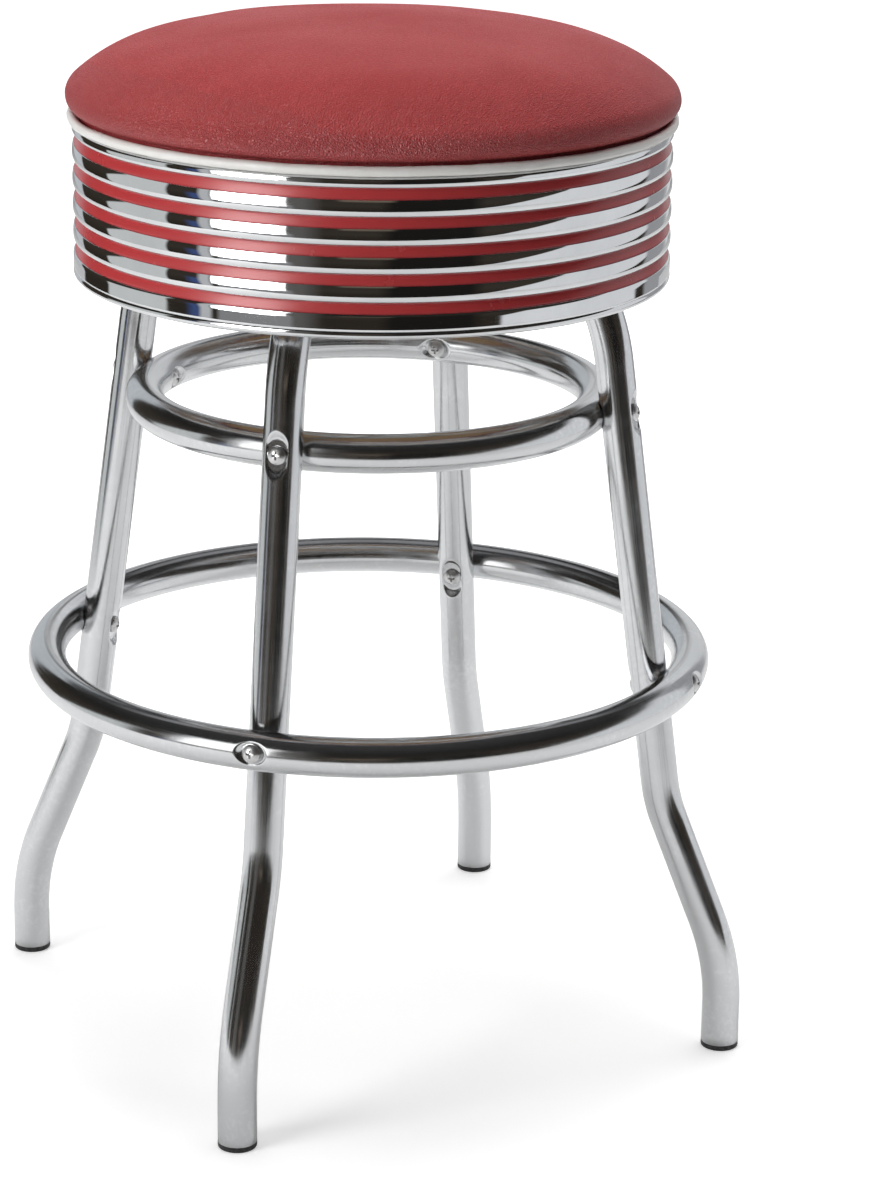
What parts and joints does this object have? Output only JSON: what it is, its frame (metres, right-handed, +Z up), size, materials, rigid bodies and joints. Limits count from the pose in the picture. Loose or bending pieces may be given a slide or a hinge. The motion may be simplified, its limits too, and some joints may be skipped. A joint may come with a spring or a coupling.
{
  "type": "diner counter stool",
  "caption": "Round padded counter stool: seat with ribbed side band turns on a ball swivel over bent tube legs joined by bolted rings.",
  "frame": {"origin": "on the floor under the middle of the seat", "axes": "+Z up along the axis that the seat turns on; -Y towards the front leg; +X towards the right leg"},
  "size_m": [0.4682, 0.4682, 0.6],
  "materials": {
    "chromed_tube": "bright chrome on bent tube",
    "chromed_sheet": "bright chrome on pressed sheet",
    "chromed_fasteners": "bright plated screw heads",
    "black_plastic": "moulded, slightly worn",
    "red_stripe": "smooth gloss",
    "red_vinyl": "fine leather-grained vinyl with a soft sheen",
    "white_vinyl": "smooth vinyl piping",
    "foam": "open-cell foam",
    "plywood": "bare plywood",
    "plated_steel": "zinc plated, dull",
    "bright_steel": "plated steel"
  },
  "bodies": {
    "stool_base": {"leg_front": "chromed_tube", "leg_right": "chromed_tube", "leg_back": "chromed_tube", "leg_left": "chromed_tube", "foot_cap_front": "black_plastic", "foot_cap_right": "black_plastic", "foot_cap_back": "black_plastic", "foot_cap_left": "black_plastic", "lower_ring": "chromed_tube", "upper_ring": "chromed_tube", "ring_bolts": "chromed_fasteners", "ring_sleeve_nuts": "chromed_fasteners", "leg_saddles": "bright_steel", "leg_bolts": "bright_steel", "leg_bolt_nuts": "bright_steel", "swivel_lower_plate": "plated_steel", "swivel_balls": "bright_steel", "swivel_ball_cage": "plated_steel", "swivel_rivet": "bright_steel"},
    "stool_seat": {"swivel_upper_plate": "plated_steel", "plate_screws": "bright_steel", "seat_board": "plywood", "seat_foam": "foam", "seat_cover": "red_vinyl", "cover_staples": "bright_steel", "seat_piping": "white_vinyl", "side_band": "chromed_sheet", "band_stripe_1": "red_stripe", "band_stripe_2": "red_stripe", "band_stripe_3": "red_stripe", "band_stripe_4": "red_stripe", "band_stripe_5": "red_stripe", "band_screws": "bright_steel"}
  },
  "joints": [
    {"name": "seat_swivel", "type": "hinge", "parent": "stool_base", "child": "stool_seat", "pos_m": [0, 0, 0.5388], "axis": [0, 0, 1], "continuous": true}
  ]
}
